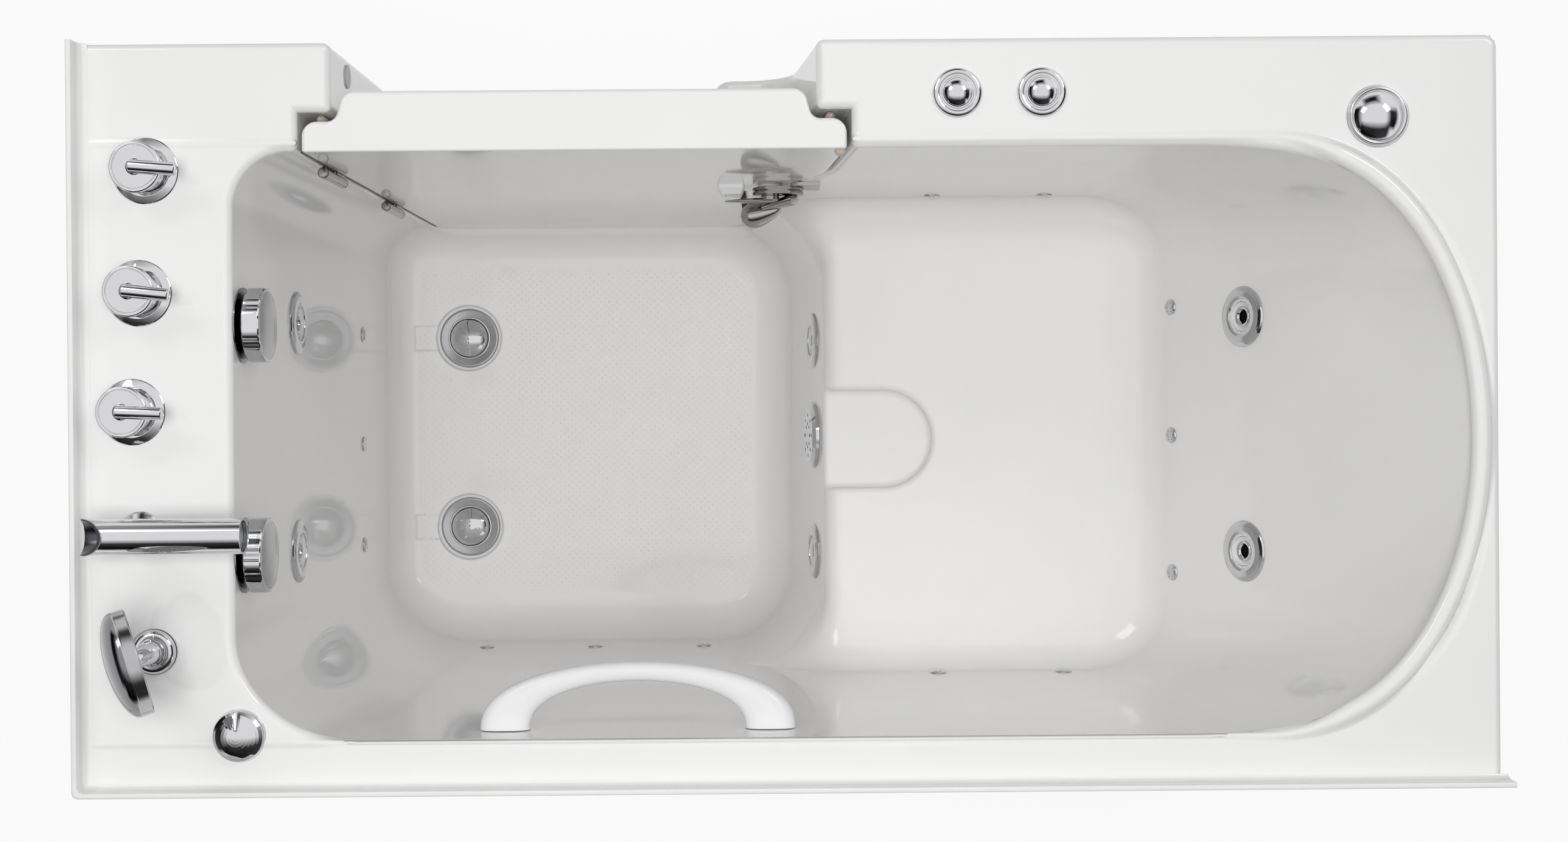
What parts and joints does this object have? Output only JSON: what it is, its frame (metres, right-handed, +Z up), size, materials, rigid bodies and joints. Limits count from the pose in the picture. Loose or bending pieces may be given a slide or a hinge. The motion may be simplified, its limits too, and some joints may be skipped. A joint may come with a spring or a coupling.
{
  "type": "walk in bathtub with door",
  "caption": "Deep white bathtub with an inward-swinging side door, moulded seat, water and air jets, deck taps, hand shower and steel frame.",
  "frame": {"origin": "on the floor, under the middle of the tub", "axes": "+X towards the foot end with the taps, +Y towards the wall behind the tub, +Z up; the door is on -Y and the seat at -X"},
  "size_m": [1.524, 0.8, 1.1199],
  "materials": {
    "acrylic_white": "glossy white acrylic shell",
    "door_white": "glossy white acrylic door",
    "panel_white": "satin white apron panels",
    "bar_white": "glossy white moulded bar",
    "frame_steel": "grey powder-coated steel tube",
    "board_wood": "plywood board",
    "foot_black": "black foot pads",
    "screw_steel": "stainless screws",
    "hinge_chrome": "polished hinge barrels",
    "latch_chrome": "polished latch",
    "latch_plastic": "light grey latch case",
    "cap_grey": "grey blanking cap",
    "tap_chrome": "polished taps, spout and holder",
    "shower_chrome": "polished hand shower",
    "shower_grey": "grey spray face with soft nozzles",
    "valve_brass": "cast brass valves",
    "pipe_copper": "copper supply pipes",
    "overflow_chrome": "polished overflow",
    "overflow_black": "black elbows behind the wall",
    "drain_chrome": "polished drains",
    "pipe_white": "white plastic pipe",
    "jet_chrome": "polished jet rings and nozzles",
    "jet_white": "white jet bodies",
    "air_grey": "grey air pipe",
    "pump_black": "black pump housing",
    "motor_blue": "dark painted motor",
    "box_grey": "grey control box",
    "button_chrome": "polished deck controls",
    "gasket_rubber": "beige door gasket"
  },
  "bodies": {
    "tub": {"tub_shell": "acrylic_white", "support_frame": "frame_steel", "equipment_board": "board_wood", "leveling_feet": "foot_black", "apron_panels": "panel_white", "door_surround_panel": "panel_white", "panel_screws": "screw_steel", "hinge_frame_leaves": "hinge_chrome", "latch_keeper": "latch_chrome", "jamb_cap": "cap_grey", "grab_bar": "bar_white", "valve_escutcheons": "tap_chrome", "valve_bodies": "valve_brass", "supply_pipes": "pipe_copper", "spout_base": "tap_chrome", "spout_tube": "tap_chrome", "shower_holder": "tap_chrome", "overflow_plates": "overflow_chrome", "overflow_elbows": "overflow_black", "drain_cables": "overflow_black", "drain_flanges": "drain_chrome", "waste_pipes": "pipe_white", "jet_rings": "jet_chrome", "jet_bodies": "jet_white", "suction_cover": "jet_chrome", "pump_pipes": "pipe_white", "air_jets": "jet_chrome", "air_pipes": "air_grey", "pump_wet_end": "pump_black", "pump_motor": "motor_blue", "air_blower": "pump_black", "control_box": "box_grey", "button_bezels": "button_chrome", "air_control_base": "button_chrome", "deck_cap": "button_chrome", "hinge_pins": "hinge_chrome"},
    "door": {"door_outer_skin": "door_white", "door_inner_skin": "door_white", "door_gasket": "gasket_rubber", "hinge_door_leaves": "hinge_chrome", "latch_base": "latch_plastic"},
    "latch": {"latch_lever": "latch_chrome"},
    "hot_handle": {"hot_tap_knob": "tap_chrome"},
    "cold_handle": {"cold_tap_knob": "tap_chrome"},
    "diverter_handle": {"diverter_knob": "tap_chrome"},
    "overflow_front": {"overflow_knob_front": "overflow_chrome"},
    "overflow_back": {"overflow_knob_back": "overflow_chrome"},
    "plug_front": {"drain_plug_front": "drain_chrome"},
    "plug_back": {"drain_plug_back": "drain_chrome"},
    "hand_shower": {"hand_shower_body": "shower_chrome", "hand_shower_face": "shower_grey"},
    "pump_switch": {"pump_button": "button_chrome"},
    "air_switch": {"air_button": "button_chrome"},
    "air_control": {"air_control_knob": "button_chrome"},
    "nozzle_foot_front": {"jet_nozzle_foot_front": "jet_chrome"},
    "nozzle_foot_back": {"jet_nozzle_foot_back": "jet_chrome"},
    "nozzle_seat_front": {"jet_nozzle_seat_front": "jet_chrome"},
    "nozzle_seat_back": {"jet_nozzle_seat_back": "jet_chrome"},
    "nozzle_rest_front": {"jet_nozzle_rest_front": "jet_chrome"},
    "nozzle_rest_back": {"jet_nozzle_rest_back": "jet_chrome"}
  },
  "joints": [
    {"name": "door_swing", "type": "hinge", "parent": "tub", "child": "door", "pos_m": [0.52325, -0.275, 0.6], "axis": [0, 0, 1], "range_deg": [-82, 0]},
    {"name": "latch_turn", "type": "hinge", "parent": "door", "child": "latch", "pos_m": [0.0225, -0.27, 0.625], "axis": [0, 1, 0], "range_deg": [0, 90]},
    {"name": "hot_turn", "type": "hinge", "parent": "tub", "child": "hot_handle", "pos_m": [0.686, -0.264, 0.965], "axis": [0, 0, 1], "range_deg": [0, 90]},
    {"name": "cold_turn", "type": "hinge", "parent": "tub", "child": "cold_handle", "pos_m": [0.694, -0.134, 0.965], "axis": [0, 0, 1], "range_deg": [0, 90]},
    {"name": "diverter_turn", "type": "hinge", "parent": "tub", "child": "diverter_handle", "pos_m": [0.702, -0.0075, 0.965], "axis": [0, 0, 1], "range_deg": [-60, 60]},
    {"name": "overflow_front_turn", "type": "hinge", "parent": "tub", "child": "overflow_front", "pos_m": [0.596, -0.101, 0.919], "axis": [-1, 0, 0], "range_deg": [0, 90]},
    {"name": "plug_front_lift", "type": "slide", "parent": "tub", "child": "plug_front", "axis": [0, 0, 1], "range_m": [0, 0.01]},
    {"name": "overflow_back_turn", "type": "hinge", "parent": "tub", "child": "overflow_back", "pos_m": [0.596, 0.149, 0.919], "axis": [-1, 0, 0], "range_deg": [0, 90]},
    {"name": "plug_back_lift", "type": "slide", "parent": "tub", "child": "plug_back", "axis": [0, 0, 1], "range_m": [0, 0.01]},
    {"name": "hand_shower_lift", "type": "slide", "parent": "tub", "child": "hand_shower", "axis": [0, 0, 1], "range_m": [0, 0.25]},
    {"name": "pump_press", "type": "slide", "parent": "tub", "child": "pump_switch", "axis": [0, 0, -1], "range_m": [0, 0.004], "stiffness_N_per_m": 1500, "springref_m": -0.001},
    {"name": "air_press", "type": "slide", "parent": "tub", "child": "air_switch", "axis": [0, 0, -1], "range_m": [0, 0.004], "stiffness_N_per_m": 1500, "springref_m": -0.001},
    {"name": "air_control_turn", "type": "hinge", "parent": "tub", "child": "air_control", "pos_m": [0.591, 0.338, 0.965], "axis": [0, 0, 1], "range_deg": [-135, 135]},
    {"name": "nozzle_foot_front_tilt", "type": "hinge", "parent": "tub", "child": "nozzle_foot_front", "pos_m": [0.602, -0.115, 0.677], "axis": [0, 1, 0], "range_deg": [-15, 15]},
    {"name": "nozzle_foot_back_tilt", "type": "hinge", "parent": "tub", "child": "nozzle_foot_back", "pos_m": [0.602, 0.161, 0.677], "axis": [0, 1, 0], "range_deg": [-15, 15]},
    {"name": "nozzle_seat_front_tilt", "type": "hinge", "parent": "tub", "child": "nozzle_seat_front", "pos_m": [-0.04074, -0.102, 0.32912], "axis": [0, 1, 0], "range_deg": [-15, 15]},
    {"name": "nozzle_seat_back_tilt", "type": "hinge", "parent": "tub", "child": "nozzle_seat_back", "pos_m": [-0.04074, 0.19, 0.32912], "axis": [0, 1, 0], "range_deg": [-15, 15]},
    {"name": "nozzle_rest_front_tilt", "type": "hinge", "parent": "tub", "child": "nozzle_rest_front", "pos_m": [-0.56863, -0.117, 0.61726], "axis": [0, 1, 0], "range_deg": [-15, 15]},
    {"name": "nozzle_rest_back_tilt", "type": "hinge", "parent": "tub", "child": "nozzle_rest_back", "pos_m": [-0.56863, 0.174, 0.61726], "axis": [0, 1, 0], "range_deg": [-15, 15]}
  ],
  "couplings": [
    {"joint": "plug_front_lift", "follows": "overflow_front_turn", "m_per_rad": 0.00636},
    {"joint": "plug_back_lift", "follows": "overflow_back_turn", "m_per_rad": 0.00636}
  ]
}
